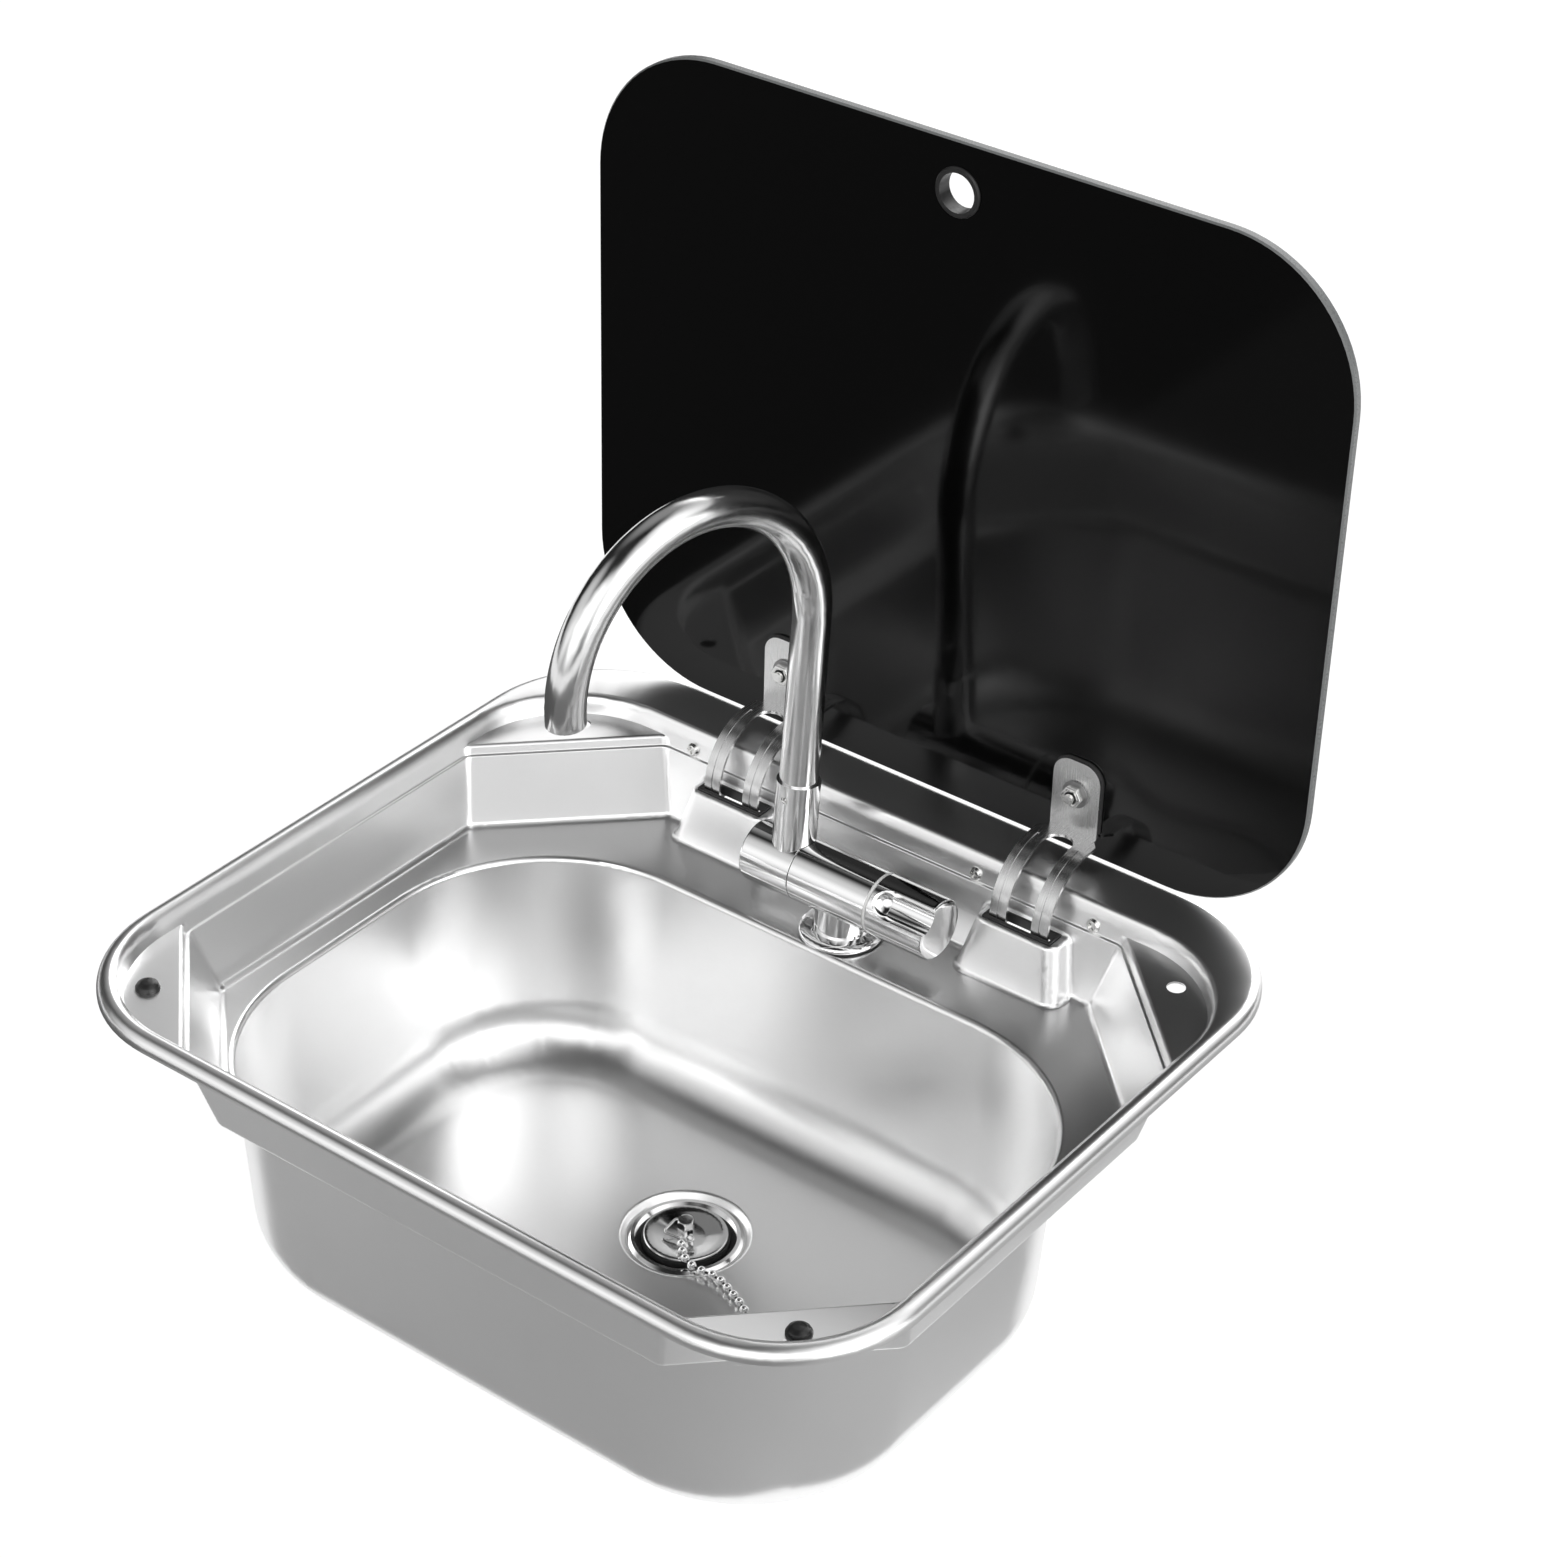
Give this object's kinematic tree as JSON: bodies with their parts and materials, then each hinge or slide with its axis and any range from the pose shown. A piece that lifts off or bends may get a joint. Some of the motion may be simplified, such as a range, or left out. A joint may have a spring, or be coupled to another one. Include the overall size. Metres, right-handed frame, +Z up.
{
  "type": "camper sink with lid and folding tap",
  "caption": "Built-in camper sink: stepped steel tray with a deep bowl, hinged glass lid, folding tap, waste outlet and stopper on a ball chain.",
  "frame": {"origin": "centre of the worktop cut-out on the worktop's top face, which the rim rests on", "axes": "+X along the sink's width, +Y to the rear where the lid hinges, +Z up"},
  "size_m": [0.42, 0.3736, 0.5508],
  "materials": {
    "pressed_steel": "bright drawn stainless",
    "polished_steel": "polished",
    "hinge_steel": "satin",
    "fasteners": "bright",
    "tap_chrome": "polished",
    "chain_chrome": "polished",
    "tap_brass": "satin",
    "lid_black_glass": "gloss black",
    "black_rubber": "matte",
    "black_plastic": "moulded",
    "grommet_plastic": "moulded",
    "white_plastic": "gloss"
  },
  "bodies": {
    "pan": {"top_tray": "pressed_steel", "bowl": "pressed_steel", "rim_seal": "black_rubber", "lid_bumper_left": "black_rubber", "lid_bumper_right": "black_rubber", "hinge_cassette_left": "black_plastic", "hinge_cassette_right": "black_plastic", "hinge_pin_left": "hinge_steel", "hinge_pin_right": "hinge_steel", "hinge_friction_washers": "hinge_steel", "hinge_screws": "fasteners", "waste_flange": "polished_steel", "waste_seal": "black_rubber", "waste_nut": "black_plastic", "waste_tail": "black_plastic", "tap_body": "tap_chrome", "tap_deck_seal": "black_rubber", "tap_escutcheon": "tap_chrome", "tap_shank_washer": "fasteners", "tap_shank_nut": "tap_brass", "pivot_o_rings": "black_rubber", "valve_cartridge": "black_plastic", "handle_washer": "white_plastic", "stopper_chain": "chain_chrome", "chain_end_ring": "chain_chrome"},
    "lid": {"lid_glass": "lid_black_glass", "finger_grommet": "grommet_plastic", "hinge_arm_left": "hinge_steel", "hinge_arm_right": "hinge_steel", "hinge_pads": "black_rubber", "lid_bolts": "fasteners", "lid_washers": "fasteners", "lid_nuts": "fasteners"},
    "handle": {"tap_handle": "tap_chrome", "handle_grub_screw": "fasteners", "valve_stem": "tap_brass"},
    "knuckle": {"spout_knuckle": "tap_chrome", "knuckle_cap": "tap_chrome", "spout_set_screw": "fasteners"},
    "spout": {"spout_tube": "tap_chrome", "flow_straightener": "black_plastic"},
    "stopper": {"stopper_cap": "polished_steel", "stopper_plug": "black_rubber", "stopper_post": "chain_chrome", "stopper_nut": "fasteners", "chain_ring": "chain_chrome", "chain_eye": "chain_chrome"}
  },
  "joints": [
    {"name": "lid_hinge", "type": "hinge", "parent": "pan", "child": "lid", "pos_m": [0, 0.1685, -0.012], "axis": [1, 0, 0], "range_deg": [0, 90]},
    {"name": "spout_fold", "type": "hinge", "parent": "pan", "child": "knuckle", "pos_m": [0, 0.117, -0.015], "axis": [1, 0, 0], "range_deg": [0, 94.2]},
    {"name": "spout_swivel", "type": "hinge", "parent": "knuckle", "child": "spout", "pos_m": [-0.029, 0.117, -0.015], "axis": [0, 0.0715, 0.9974], "range_deg": [0, 100.6]},
    {"name": "handle_turn", "type": "hinge", "parent": "pan", "child": "handle", "pos_m": [0, 0.117, -0.015], "axis": [1, 0, 0], "range_deg": [0, 90]},
    {"name": "stopper_lift", "type": "slide", "parent": "pan", "child": "stopper", "axis": [0, 0, 1], "range_m": [0, 0.02], "deforming": ["stopper_chain"]}
  ],
  "couplings": [
    {"joint": "spout_fold", "follows": "lid_hinge", "ratio": 1.0456},
    {"joint": "spout_swivel", "follows": "lid_hinge", "ratio": 1.1167}
  ]
}
